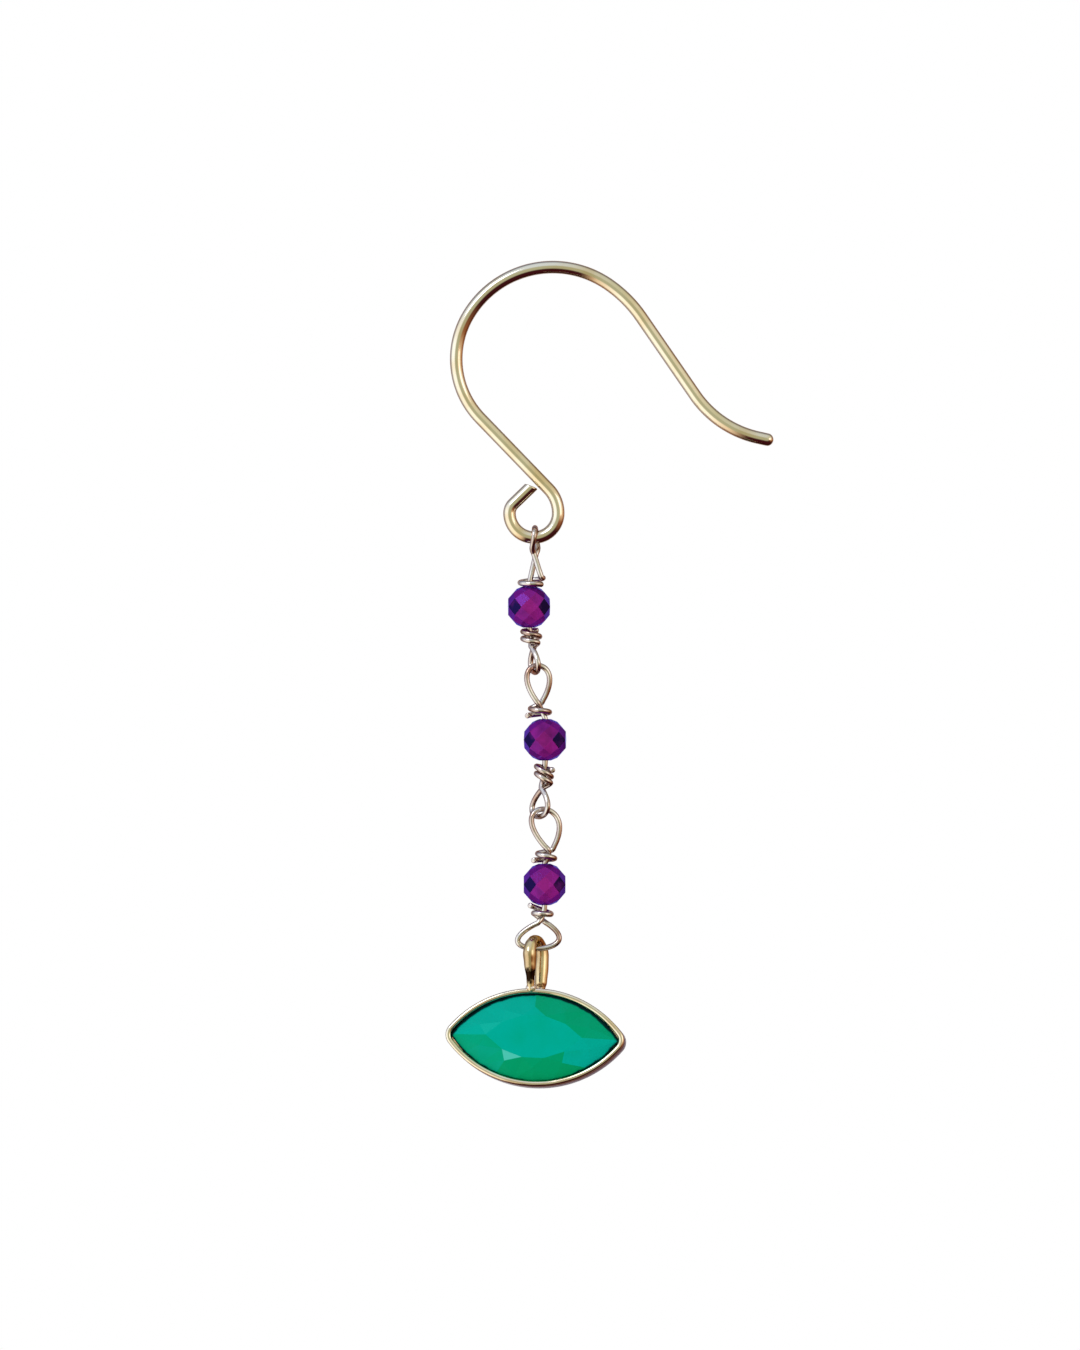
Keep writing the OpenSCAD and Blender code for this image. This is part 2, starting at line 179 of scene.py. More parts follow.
# The cup's sections: how far each lies inside the outline, and how far back from the front
CUP_SECTIONS = (
    (0.34, 2.3),
    (0.16, 2.29),
    (0.05, 2.25),
    (0.0, 2.14),
    (0.0, 1.5),
    (0.0, 0.8),
    (0.0, 0.13),
    (0.02, 0.06),
    (0.07, 0.015),
    (0.14, 0.0),
    (0.22, 0.01),
    (0.28, 0.04),
    (0.315, 0.09),
    (0.31, 0.15),
    (0.24, 0.19),
    (0.24, 1.0),
    (0.24, 1.9),
)

# How far back the rim was rubbed down by hand, how uneven that left it, and with what grain
RIM_DEPTH = 0.2
RIM_UNEVEN = 0.02
RIM_GRAIN = 1.6

# Where the pendant hangs, and its turns in degrees: its swing, its turn round the upright, and
# the roll of the cup and stone in their own plane
PENDANT_X = -1
PENDANT_PITCH = -5
PENDANT_YAW = -4
SETTING_ROLL = 2

# The bail: radius over the top, length of its legs, how far they lean together and its turn in
# degrees, how far behind the cup's front it stands, how deep its feet go into the cup, and how
# far short each leg stops under the solder
BAIL_R = 0.95
BAIL_LEG = 2.22
BAIL_SPREAD = 6
BAIL_YAW = -19
BAIL_SET_BACK = 0.71
BAIL_SINK = 0.3
SOLDERED = 0.13

# The bail's thickness, as a share of its wire's, at shares of its length from the front foot
# and from the back foot up to the top
BAIL_FRONT = (
    (0, 0.62),
    (0.1, 0.7),
    (0.22, 1.02),
    (0.3, 1.15),
    (0.37, 1.05),
    (0.43, 0.86),
    (0.5, 0.72),
)
BAIL_BACK = (
    (0, 0.5),
    (0.03, 0.8),
    (0.08, 1.06),
    (0.2, 1.2),
    (0.3, 1.16),
    (0.43, 0.86),
    (0.5, 0.72),
)

# The drops of solder: place across and back on the bezel's edge, how deep each is sunk in it,
# and size. Then the half widths of a drop of size 1, how uneven the drops are, with what grain,
# and what keeps drops of two sizes from being uneven alike
Drop = namedtuple("Drop", "across back sink size")
SOLDER_DROPS = (Drop(-0.23, 0.08, -0.04, 0.95), Drop(0.23, 1.34, 0.03, 0.8))
DROP_HALVES = (0.32, 0.31, 0.26)
DROP_UNEVEN = 0.18
DROP_GRAIN = 1.7
DROP_SHIFT = 5

# The stone's rough half length and half width, the painted light and shade of its facets by the
# degrees round its centre at which a sector of it ends, how far a facet's painted shade differs
# from its sector's with its facing, the painted tone of the table, and how squarely a facet faces
# forward to be in the crown or the table
STONE_HALVES = (4.8, 2.5)
PAINTED_FACET_SHADES = ((90, 0.3), (170, 0.68), (244, 0.42), (305, 0.06), (360, 0.72))
TONE_RIPPLE = 0.06
TABLE_TONE = 0.72
CROWN_FACING = 0.5
TABLE_FACING = 0.985

# Where the stone's painted glint lies from its centre, and the least area of a facet that can have
# it, in square metres
PAINTED_GLINT = Vector((-1.42, 0, -1.19))
LEAST_FACET = 0.1 * MM**2

# Facets that meet at less than the first angle are one, and edges over the second are polished
ONE_FACET = math.radians(0.6)
SHARP_EDGE = math.radians(5)

# A gold: its colour, its colour where it has gone warm, the tint of what is seen aslant, and
# its least and greatest roughness
Gold = namedtuple("Gold", "colour warm aslant smooth rough")
BAIL_GOLD = Gold((0.8, 0.66, 0.4), (0.5, 0.33, 0.17), (0.25, 0.1, 0.04), 0.08, 0.18)
SOLDER_GOLD = Gold((0.97, 0.9, 0.82), (0.92, 0.8, 0.72), (0.5, 0.3, 0.25), 0.35, 0.5)

# Where a dark reflection is painted on the bail, across and up from the middle of its feet, and the
# colour of that painted reflection
PAINTED_REFLECTION_PLACE = Vector((-0.83, 1.08, 0))
PAINTED_REFLECTION_COLOUR = (0.025, 0.012, 0.006)

# Where most values of a noise texture lie
NOISE_RANGE = (0.3, 0.7)

# The studio's light by the turn from the left, down over the table, to the right and back over
# the ceiling, and what the walls behind are dimmed by from the upper left to the lower right
ROOM_LIGHT = (
    (0.0, (1.2, 1.2, 1.2)),
    (0.13, (1.25, 1.18, 1.02)),
    (0.17, (0.95, 0.72, 0.5)),
    (0.2, (0.05, 0.006, 0.01)),
    (0.39, (0.05, 0.008, 0.01)),
    (0.45, (0.32, 0.12, 0.05)),
    (0.49, (0.85, 0.62, 0.4)),
    (0.55, (1.0, 0.9, 0.75)),
    (0.64, (0.62, 0.6, 0.42)),
    (0.74, (0.7, 0.78, 0.88)),
    (0.88, (0.76, 0.82, 0.92)),
    (0.97, (1.2, 1.22, 1.24)),
)
VEIL = (
    (0.0, (0.28, 0.27, 0.34)),
    (0.45, (0.3, 0.28, 0.34)),
    (0.58, (0.26, 0.15, 0.12)),
    (0.8, (0.26, 0.1, 0.05)),
    (1.0, (0.5, 0.22, 0.09)),
)
OLIVE_WALL = (0.48, 0.48, 0.33)
PALE_WALL = (0.85, 0.83, 0.84)

# The lamps' places and sizes in metres and their power in watts, and where they point
SOFTBOXES = (("key", (-0.3, -0.42, 0.36), 0.26, 0.8), ("fill", (0.5, -0.4, 0.1), 0.3, 0.2))
LIT_PLACE = Vector((0, 0, -0.025))

# The round floor's radius
FLOOR_R = 300

# The photo in pixels: its width and height, where this scene's origin lies in it, and how many
# pixels a millimetre has. Then the width of the camera's sensor
PHOTO_WIDTH = 1080
PHOTO_HEIGHT = 1350
PHOTO_ORIGIN = (552.8, 273.4)
PIXELS_PER_MM = 16.8
SENSOR = 36


# Sizes and colours for the sidebar


def length_setting(name, description, default, low, high, precision=5):
    return bpy.props.FloatProperty(
        name=name,
        description=description,
        default=default * MM,
        min=low * MM,
        max=high * MM,
        precision=precision,
        unit="LENGTH",
    )


def colour_setting(name, description, default):
    return bpy.props.FloatVectorProperty(
        name=name, description=description, default=default, min=0, max=1, subtype="COLOR"
    )


class EarWireLooks(bpy.types.PropertyGroup):
    wire: length_setting("Wire", "Diameter of the ear wire", 0.75, 0.5, 1)
    colour: colour_setting("Gold", "Colour of the ear wire's gold", (0.89, 0.83, 0.68))
    warm: colour_setting(
        "Warm gold", "Colour of the ear wire where handling has warmed it", (0.82, 0.68, 0.45)
    )


class LinkLooks(bpy.types.PropertyGroup):
    wire: length_setting("Wire", "Diameter of the links' wire", 0.33, 0.2, 0.4)
    colour: colour_setting("Pale gold", "Colour of the links' wire", (0.77, 0.74, 0.72))
    warm: colour_setting(
        "Rose brown", "Colour of the links' wire where it was bent and handled", (0.4, 0.22, 0.16)
    )


class BeadLooks(bpy.types.PropertyGroup):
    edge: length_setting(
        "Facet edge", "Width of the polished edge between two facets", 0.012, 0.002, 0.05, 6
    )
    colour: colour_setting(
        "Garnet", "Colour of the light that comes back out of a bead", (1.0, 0.06, 0.28)
    )
    shade: colour_setting(
        "Shade", "Colour of the facets that send no light back", (0.02, 0.001, 0.01)
    )
    violet: colour_setting(
        "Violet",
        "Tint that a bead's polish gives, strongest where it is seen aslant",
        (0.42, 0.36, 1.0),
    )


class PendantLooks(bpy.types.PropertyGroup):
    bail_wire: length_setting(
        "Bail", "Thickness of the wire that the bail was drawn out of", 0.7, 0.5, 0.8
    )
    gold: colour_setting("Bezel gold", "Colour of the bezel's gold", (0.93, 0.86, 0.7))
    warm: colour_setting(
        "Warm bezel gold", "Colour of the bezel where handling has warmed it", (0.86, 0.7, 0.5)
    )
    edge: length_setting(
        "Facet edge",
        "Width of the polished edge between two facets of the stone",
        0.015,
        0.002,
        0.05,
        6,
    )
    # Teal and green are the lit and shaded ends of the stone's painted facet shading
    teal: colour_setting(
        "Teal", "Colour of the facets that send cool light back", (0.0, 0.4, 0.31)
    )
    green: colour_setting(
        "Green", "Colour of the facets that look into the stone", (0.0, 0.32, 0.12)
    )


class StageLooks(bpy.types.PropertyGroup):
    drop: length_setting(
        "Floor below", "How far the floor lies under the ear wire's bend", 85, 60, 200, 2
    )
    distance: length_setting(
        "Camera distance", "How far the camera stands in front of the earring", 1000, 400, 2000, 2
    )
    paper: colour_setting("Paper", "Colour of the floor", (0.93, 0.93, 0.93))


# Materials


class Nodes:
    """The nodes of one material or world, made and joined by short calls."""

    def __init__(self, owner):
        owner.use_nodes = True
        self.tree = owner.node_tree
        self.tree.nodes.clear()

    def add(self, kind, **values):
        made = self.tree.nodes.new(kind)
        for name, value in values.items():
            setattr(made, name, value)
        return made

    def join(self, out, into):
        self.tree.links.new(out, into)

    def fill(self, made, values):
        """Gives a node's inputs, in their order, a socket or a fixed value each."""
        for into, value in zip(made.inputs, values):
            if isinstance(value, bpy.types.NodeSocket):
                self.join(value, into)
            else:
                into.default_value = value

    def number(self, operation, *values):
        """A step of reckoning with numbers."""
        made = self.add("ShaderNodeMath", operation=operation)
        self.fill(made, values)
        return made.outputs[0]

    def measure(self, operation, *values):
        """A number from vectors: a length, a distance or a dot product."""
        made = self.add("ShaderNodeVectorMath", operation=operation)
        self.fill(made, values)
        return made.outputs["Value"]

    def flat(self, place):
        """A place or a direction with its Y left out."""
        made = self.add("ShaderNodeVectorMath", operation="MULTIPLY")
        self.fill(made, (place, (1, 0, 1)))
        return made.outputs["Vector"]

    def apart(self, place):
        made = self.add("ShaderNodeSeparateXYZ")
        self.join(place, made.inputs[0])
        return made.outputs

    def coordinate(self, name):
        return self.add("ShaderNodeTexCoord").outputs[name]

    def facet_tone(self, clouds):
        """The tone of a facet, with clouds added."""
        tone = self.add("ShaderNodeAttribute", attribute_name="facet_tone").outputs["Fac"]
        return self.number("ADD", tone, clouds)

    def ramp(self, fac, stops):
        made = self.add("ShaderNodeValToRGB")
        points = made.color_ramp.elements
        while len(points) < len(stops):
            points.new(0.5)
        for point, (place, colour) in zip(points, stops):
            point.position = place
            point.color = (*colour, 1)
        self.join(fac, made.inputs["Fac"])
        return made.outputs["Color"]

    def noise(self, coordinates, scale, detail=3.0):
        """Soft noise whose scale is its grains to a metre."""
        made = self.add("ShaderNodeTexNoise")
        made.inputs["Scale"].default_value = scale
        made.inputs["Detail"].default_value = detail
        self.join(coordinates, made.inputs["Vector"])
        return made.outputs["Fac"]

    def spread(self, value, to, of=NOISE_RANGE):
        """Turns the range of a value into another one, and clamps it there."""
        made = self.add("ShaderNodeMapRange")
        self.join(value, made.inputs["Value"])
        for name, limit in zip(("From Min", "From Max", "To Min", "To Max"), (*of, *to)):
            made.inputs[name].default_value = limit
        return made.outputs["Result"]

    def mix(self, fac, first, second, blend="MIX"):
        """Mixes two colours, each a socket or a fixed red, green and blue."""
        made = self.add("ShaderNodeMix", data_type="RGBA", blend_type=blend)
        self.join(fac, made.inputs["Factor"])
        for name, colour in (("A", first), ("B", second)):
            if isinstance(colour, tuple):
                made.inputs[name].default_value = (*colour, 1)
            else:
                self.join(colour, made.inputs[name])
        return made.outputs["Result"]

    def bump(self, height, depth, strength):
        made = self.add("ShaderNodeBump")
        made.inputs["Distance"].default_value = depth
        made.inputs["Strength"].default_value = strength
        self.join(height, made.inputs["Height"])
        return made.outputs["Normal"]


def shader_of(nodes, **sockets):
    shader = nodes.add("ShaderNodeBsdfPrincipled")
    output = nodes.add("ShaderNodeOutputMaterial")
    nodes.join(shader.outputs["BSDF"], output.inputs["Surface"])
    for name, value in sockets.items():
        shader.inputs[name.replace("_", " ")].default_value = value
    return shader


def polished_gold(name, gold, painted_reflection_at=None, brushed=None):
    """Polished gold alloy with handling marks: warmer patches, fine scratches and soft dents,
    a deeper colour where it is seen aslant, a painted dark reflection round one place, and a
    brushed side that faces one way."""
    material = bpy.data.materials.new(name)
    nodes = Nodes(material)
    shader = shader_of(nodes, Metallic=1.0, Specular_Tint=(*gold.aslant, 1))
    place = nodes.coordinate("Object")
    patches = nodes.noise(place, scale=700, detail=4)
    colour = nodes.ramp(patches, ((0.42, gold.colour), (0.72, gold.warm)))
    # Painted dark reflection: the colour is darkened in a ragged spot round one place
    if painted_reflection_at is not None:
        away = nodes.measure("DISTANCE", place, MM * painted_reflection_at)
        ragged = nodes.spread(nodes.noise(place, scale=2500), to=(-0.2 * MM, 0.2 * MM))
        edge = nodes.number("ADD", away, ragged)
        spot = nodes.spread(edge, to=(1, 0), of=(0.38 * MM, 0.55 * MM))
        colour = nodes.mix(spot, colour, PAINTED_REFLECTION_COLOUR)
    nodes.join(colour, shader.inputs["Base Color"])
    scratches = nodes.noise(place, scale=6000, detail=5)
    roughness = nodes.spread(scratches, to=(gold.smooth, gold.rough))
    if brushed is not None:
        facing = nodes.measure("DOT_PRODUCT", nodes.coordinate("Normal"), brushed)
        satin = nodes.spread(facing, to=(0, 0.6), of=(0.9, 0.97))
        roughness = nodes.number("MAXIMUM", roughness, satin)
    nodes.join(roughness, shader.inputs["Roughness"])
    nodes.join(nodes.bump(scratches, depth=0.003 * MM, strength=0.05), shader.inputs["Normal"])
    return material


def garnet(name, colour, violet, shade):
    """Plum-red garnet whose polish is violet where it is seen aslant, with painted shade on some
    facets.
    """
    material = bpy.data.materials.new(name)
    nodes = Nodes(material)
    shader = shader_of(
        nodes,
        Roughness=0.08,
        IOR=1.74,
        Transmission_Weight=0.35,
        Specular_IOR_Level=0.3,
        Specular_Tint=(0.32, 0.32, 1, 1),
        Coat_Weight=1.0,
        Coat_IOR=1.04,
        Coat_Roughness=0.05,
        Coat_Tint=(*violet, 1),
    )
    place = nodes.coordinate("Object")
    clouds = nodes.spread(nodes.noise(place, scale=1500), to=(-0.2, 0.2))
    half_lit = tuple(0.6 * c for c in colour)
    stops = ((0.1, shade), (0.5, half_lit), (0.9, colour))
    nodes.join(nodes.ramp(nodes.facet_tone(clouds), stops), shader.inputs["Base Color"])
    return material


# Used as the mask of the stone's painted shadow under the bezel's rim
def marquise_depth(nodes, place, shift, tips):
    """How deep a place lies inside the bezel's outline, moved by a shift, from coordinates in
    the bezel's frame, less a share of its distance from the middle. It is in metres."""
    arc, low = BEZEL_ARC * MM, (BEZEL_ARC - BEZEL_WIDTH / 2) * MM
    flat = nodes.flat(place)
    depths = []
    for side in (-1, 1):
        centre = (shift[0] * MM, 0, side * low + shift[1] * MM)
        depths.append(nodes.number("SUBTRACT", arc, nodes.measure("DISTANCE", flat, centre)))
    nearer = nodes.number("MINIMUM", *depths)
    toward_tips = nodes.number("ABSOLUTE", nodes.apart(place)["X"])
    return nodes.number("MULTIPLY_ADD", toward_tips, -tips, nearer)


def green_agate(name, teal, green, setting):
    """Cloudy green stone whose facets carry painted light and shade, as its facet_tone attribute
    says, and which has a painted shadow where it goes under the bezel's rim."""
    material = bpy.data.materials.new(name)
    nodes = Nodes(material)
    shader = shader_of(
        nodes, Roughness=0.25, IOR=1.54, Specular_IOR_Level=0.15, Specular_Tint=(0.08, 0.8, 0.7, 1)
    )
    place = nodes.coordinate("Object")
    clouds = nodes.spread(nodes.noise(place, scale=500, detail=4), to=(-0.08, 0.08))
    # The brightest colour is the painted glint
    painted_glint_colour = (0.07 + teal[0], 1.35 * teal[1], 1.38 * teal[2])
    cool_green = tuple((2 * g + t) / 3 for g, t in zip(green, teal))
    stops = ((0.0, green), (0.42, cool_green), (0.7, teal), (0.88, teal), (1.0, painted_glint_colour))
    facets = nodes.ramp(nodes.facet_tone(clouds), stops)
    turned = nodes.add("ShaderNodeMapping", vector_type="TEXTURE")
    turned.inputs["Location"].default_value = MM * setting.translation
    turned.inputs["Rotation"].default_value = setting.to_euler()
    nodes.join(place, turned.inputs["Vector"])
    # Painted shadow: a thin ragged near-black band where the stone goes under the bezel's rim
    depth = marquise_depth(nodes, turned.outputs[0], shift=(-0.02, -0.06), tips=0.027)
    ragged = nodes.spread(nodes.noise(place, scale=1800, detail=2), to=(-0.04 * MM, 0.04 * MM))
    edge = nodes.number("ADD", depth, ragged)
    shade = nodes.spread(edge, to=(1, 0), of=(0.35 * MM, 0.43 * MM))
    nodes.join(nodes.mix(shade, facets, (0.0, 0.018, 0.02)), shader.inputs["Base Color"])
    return material


def paper_sheet(name, colour):
    """Pale paper with faint fibres, brightened as an overlit backdrop is."""
    material = bpy.data.materials.new(name)
    nodes = Nodes(material)
    shader = shader_of(nodes, Roughness=0.8, Emission_Strength=0.32)
    fibres = nodes.noise(nodes.coordinate("Object"), scale=900, detail=4)
    dim = tuple(0.98 * c for c in colour)
    nodes.join(nodes.ramp(fibres, ((0.3, dim), (0.7, colour))), shader.inputs["Base Color"])
    return material


# Pieces


def new_piece(name, mesh, body, slot, material, *replaced):
    """A finished piece at the origin, riding on a body and standing for CAD nodes."""
    mesh.materials.clear()
    mesh.materials.append(material)
    piece = bpy.data.objects.new(name, mesh)
    bpy.context.scene.collection.objects.link(piece)
    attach(piece, body)
    if replaced:
        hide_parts(*replaced)
    return piece


def mesh_of(name, shape, smooth):
    """The mesh of a bmesh whose lengths are millimetres."""
    bmesh.ops.scale(shape, vec=(MM, MM, MM), verts=shape.verts)
    mesh = bpy.data.meshes.new(name)
    shape.to_mesh(mesh)
    shape.free()
    mesh.polygons.foreach_set("use_smooth", [smooth] * len(mesh.polygons))
    mesh.update()
    return mesh


def smooth_sides(mesh):
    """Shades a mesh smooth, but not its flat caps."""
    mesh.polygons.foreach_set("use_smooth", [len(p.vertices) < CAP_CORNERS for p in mesh.polygons])


def wire_mesh(name, path, radii, resolution):
    """A round wire along a path, with a radius at each of its points, in millimetres."""
    curve = bpy.data.curves.new(name, "CURVE")
    curve.dimensions = "3D"
    curve.twist_mode = "MINIMUM"
    curve.bevel_depth = 1.0
    curve.bevel_resolution = resolution
    curve.use_fill_caps = True
    spline = curve.splines.new("POLY")
    spline.points.add(len(path) - 1)
    for point, place, radius in zip(spline.points, path, radii):
        point.co = (*(MM * Vector(place)), 1)
        point.radius = MM * radius
    drawn = bpy.data.objects.new(name, curve)
    bpy.context.scene.collection.objects.link(drawn)
    ready = drawn.evaluated_get(bpy.context.evaluated_depsgraph_get())
    mesh = bpy.data.meshes.new_from_object(ready)
    bpy.data.objects.remove(drawn)
    bpy.data.curves.remove(curve)
    shape = bmesh.new()
    shape.from_mesh(mesh)
    bmesh.ops.remove_doubles(shape, verts=shape.verts, dist=SAME_PLACE * MM)
    bmesh.ops.recalc_face_normals(shape, faces=shape.faces)
    shape.to_mesh(mesh)
    shape.free()
    smooth_sides(mesh)
    return mesh


def share(low, high, value):
    """How far a value has come from low to high, from 0 to 1."""
    return min(max((value - low) / (high - low), 0), 1)


def round_ends(path, radius, first, last):
    """The wire's radius at each point of a path whose ends are rounded over a length."""
    least = 0.02
    runs = [0]
    for a, b in zip(path, path[1:]):
        runs.append(runs[-1] + (Vector(b) - Vector(a)).length)
    radii = []
    for run in runs:
        part = 1.0
        for length, from_end in ((first, run), (last, runs[-1] - run)):
            if from_end < length:
                part = min(part, math.sqrt(max(0.0, 1 - (1 - from_end / length) ** 2)))
        radii.append(radius * max(part, least))
    return radii


def with_fine_ends(path, length, count):
    """A path with more points near both ends, where the wire is rounded."""
    fine = [Vector(p) for p in path]
    for at, step in ((0, 1), (-1, -1)):
        end = fine[at]
        way = (fine[at + step] - end).normalized()
        extra = [end + way * length * (1 - math.cos(math.pi / 2 * k / count)) for k in range(count)]
        if step == 1:
            fine = extra + [p for p in fine if (p - end).length > length]
        else:
            fine = [p for p in fine if (p - end).length > length] + extra[::-1]
    return fine


def bent_path(bends, start, end_run, step):
    """Points of a flat bent wire that starts at a place across and up with a heading, and ends
    in a straight run."""
    across, up, heading = start
    points = [(across, up)]

    def straight(run):
        nonlocal across, up
        count = max(1, math.ceil(run / step))
        for k in range(count if run > 0 else 0):
            across += run / count * math.cos(math.radians(heading))
            up += run / count * math.sin(math.radians(heading))
            points.append((across, up))

    for bend in bends:
        straight(bend.run)
        side = 1 if bend.turn > 0 else -1
        centre_x = across - side * bend.radius * math.sin(math.radians(heading))
        centre_y = up + side * bend.radius * math.cos(math.radians(heading))
        length = bend.radius * math.radians(abs(bend.turn))
        count = max(4, math.ceil(length / step))
        for k in range(1, count + 1):
            turned = math.radians(heading + bend.turn * k / count)
            across = centre_x + side * bend.radius * math.sin(turned)
            up = centre_y - side * bend.radius * math.cos(turned)
            points.append((across, up))
        heading += bend.turn
    straight(end_run)
    return points


# The ear wire


def slant_end(mesh, end, ahead, aside, slant, radius, length):
    """Cuts a wire's end aslant: slides its last rings along it by how far aside they stand."""
    just_past = 0.001
    widest = 1.02 * radius
    for vert in mesh.vertices:
        off = vert.co / MM - end
        back = -off.dot(ahead)
        off_axis = off + ahead * back
        if -just_past < back < length and off_axis.length < widest:
            slide = off_axis.dot(aside) * math.tan(slant) * (1 - back / length)
            vert.co += MM * slide * ahead


def ring_foot(hook_wire):
    """Across and up of the lowest place of the ear wire's ring, at the wire's centre."""
    start = (0, hook_wire / 2, 180)
    ring = bent_path(FRONT_BENDS[: RING_BEND + 1], start, end_run=0, step=0.02)
    return min(ring, key=lambda p: p[1])


def ear_wire_mesh(wire):
    """The ear wire, from the ring's slanting end over the top to the tail's rounded tip."""
    heading = 180 + sum(bend.turn for bend in FRONT_BENDS)
    slant = math.radians(RING_CUT_ANGLE - heading + 90)
    ring_run = RING_END_RUN - RING_CUT_RUN + wire / 2 * math.tan(slant)
    front = bent_path(FRONT_BENDS, (0, wire / 2, 180), ring_run, step=0.12)
    tail = bent_path(TAIL_BENDS, (0, wire / 2, 0), TAIL_END_RUN + TAIL_TIP_RUN, step=0.12)
    flat = front[::-1] + tail[1:]
    path = with_fine_ends([(x, 0, z) for x, z in flat], TAIL_TAPER, count=8)
    radii = round_ends(path, wire / 2, RING_CUT_EDGE, TAIL_TAPER)
    mesh = wire_mesh("ear_wire", path, radii, resolution=10)
    ahead = (path[0] - path[1]).normalized()
    aside = Vector((ahead.z, 0, -ahead.x))
    slant_end(mesh, path[0], ahead, aside, slant, wire / 2, TAIL_TAPER)
    return mesh


# The links


def beside(eye, out):
    """How far the middle of an eye's loop or neck stands beside the stem, out along it."""
    neck = eye.reach - eye.height
    lean = max(out - neck, 0) * math.tan(math.radians(eye.lean))
    return eye.neck * share(NECK_START, neck, out) + lean


def end_point(eye, way, across, depth, out, aside):
    """A place on a link's end, turned as the eye is at that reach. Its way is 1 up, -1 down."""
    turned = eye.facing + eye.twist * share(0, eye.height, eye.reach - out) ** 3
    c, s = math.cos(math.radians(turned)), math.sin(math.radians(turned))
    return Vector((across * c - depth * s + aside, across * s + depth * c, way * out))


def eye_knot(eye, way, angle, step):
    """A knot of an eye's loop, whose two legs stand a step apart where they cross."""
    a = math.radians(angle)
    across = eye.side * eye.half / WIDEST * math.sin(a) * math.sin(a / 2)
    depth = -step / 2 * math.cos(a / 2)
    out = eye.reach - eye.height * (1 + math.cos(a)) / 2
    return end_point(eye, way, across, depth, out, beside(eye, out))


def wrap_knot(eye, wrap, way, angle):
    """A knot of a wrap, which winds round the stem from the eye toward the bead."""
    done = (angle - WRAP_START) / 360
    a = math.radians(angle)
    r = wrap.radius + wrap.tail * share(wrap.turns - TAIL_SHARE, wrap.turns, done)
    out = wrap.height + WRAP_PITCH * (wrap.turns - done)
    p = end_point(eye, way, eye.side * r * math.sin(a), r * math.cos(a), out, wrap.aside)
    p.z += (p.x - wrap.aside) * math.tan(math.radians(wrap.tilt))
    return p


def end_knots(eye, wrap, way, step):
    """The knots of a link's end from the bead out: the stem, the eye, and the wrap back down."""
    top = wrap.height + WRAP_PITCH * wrap.turns - STEM_ROOM
    knots = [
        Vector((0, 0, way * STEM_START)),
        Vector((0, 0, way * (wrap.height - STEM_ROOM))),
        Vector((beside(eye, top), 0, way * top)),
    ]
    angles = range(EYE_OPENING, 360 - EYE_OPENING + 1, EYE_STEP)
    knots += [eye_knot(eye, way, angle, step) for angle in angles]
    count = int(360 * wrap.turns // WRAP_STEP)
    knots += [wrap_knot(eye, wrap, way, WRAP_START + WRAP_STEP * k) for k in range(count + 1)]
    return knots


def smooth_path(knots, spacing):
    """Points along a curve that glides through all the knots."""
    last = len(knots) - 1
    ways = [(knots[min(i + 1, last)] - knots[max(i - 1, 0)]).normalized() for i in range(last + 1)]
    path = []
    for i in range(last):
        p, q = knots[i], knots[i + 1]
        reach = (q - p).length
        count = max(1, math.ceil(reach / spacing))
        for k in range(count):
            s = k / count
            path.append(
                (2 * s**3 - 3 * s**2 + 1) * p
                + (s**3 - 2 * s**2 + s) * reach * ways[i]
                + (3 * s**2 - 2 * s**3) * q
                + (s**3 - s**2) * reach * ways[i + 1]
            )
    return path + [knots[last]]


def link_heights(looks):
    """Height of each bead's centre, and of the lowest eye, from the ear wire's ring down."""
    hook = looks.ear_wire.wire / MM
    wire = looks.links.wire / MM
    step = wire + HANG_GAP
    eye = ring_foot(hook)[1] + hook / 2 + wire / 2 + HANG_GAP
    heights = {}
    for name, link in LINKS.items():
        centre = eye + link.lift - link.upper_eye.reach
        heights[name] = centre
        eye = centre - link.lower_eye.reach + step
    return heights, eye - step


def link_mesh(name, link, wire, height):
    """A link from the end of its upper wrap, through the bead, to the end of its lower wrap."""
    up = end_knots(link.upper_eye, link.upper_wrap, 1, wire + HANG_GAP)
    down = end_knots(link.lower_eye, link.lower_wrap, -1, wire + HANG_GAP)
    place = Vector((link.x, 0, height))
    path = [p + place for p in smooth_path(up[::-1] + down, spacing=0.09)]
    path = with_fine_ends(path, length=0.08, count=5)
    radii = round_ends(path, wire / 2, first=0.05, last=0.05)
    return wire_mesh(name, path, radii, resolution=4)


# The pendant


def pendant_place(looks):
    """Puts the bezel's own frame, with the stone facing the front, in its hanging place."""
    lowest = link_heights(looks)[1]
    wire = looks.links.wire / MM
    top = lowest + wire / 2 + HANG_GAP + looks.pendant.bail_wire / MM / 2
    spread = math.radians(BAIL_SPREAD)
    rise = BAIL_LEG * math.cos(spread) + BAIL_R * (1 + math.sin(spread))
    drop = rise + BEZEL_WIDTH / 2 - BAIL_SINK
    return (
        Matrix.Translation((PENDANT_X, 0, top))
        @ Matrix.Rotation(math.radians(PENDANT_YAW), 4, "Z")
        @ Matrix.Rotation(math.radians(PENDANT_PITCH), 4, "X")
        @ Matrix.Translation((0, -BAIL_SET_BACK, -drop))
    )


